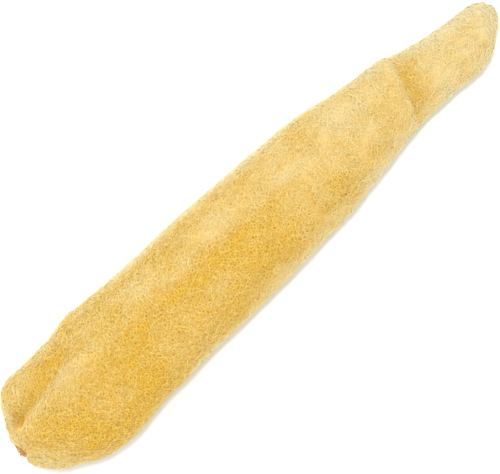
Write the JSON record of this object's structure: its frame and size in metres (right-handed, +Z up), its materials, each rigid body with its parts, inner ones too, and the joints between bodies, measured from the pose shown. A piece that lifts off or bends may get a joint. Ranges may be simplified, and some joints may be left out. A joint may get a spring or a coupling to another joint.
{
  "type": "natural loofah sponge",
  "caption": "Whole dried loofah lying on its side, a long gourd of netted straw fibre that narrows at a creased shoulder to a thin neck, used as a bath sponge.",
  "frame": {"origin": "bottom centre of the box, on the surface that the loofah lies on", "axes": "+X along the gourd from the blossom end to the neck, +Y to the left of that, +Z up"},
  "size_m": [0.5216, 0.1092, 0.0872],
  "materials": {
    "loofah_fibre": "matte dry straw-coloured plant fibre, a fine springy net"
  },
  "bodies": {
    "root": {"loofah_sponge": "loofah_fibre"}
  },
  "joints": []
}
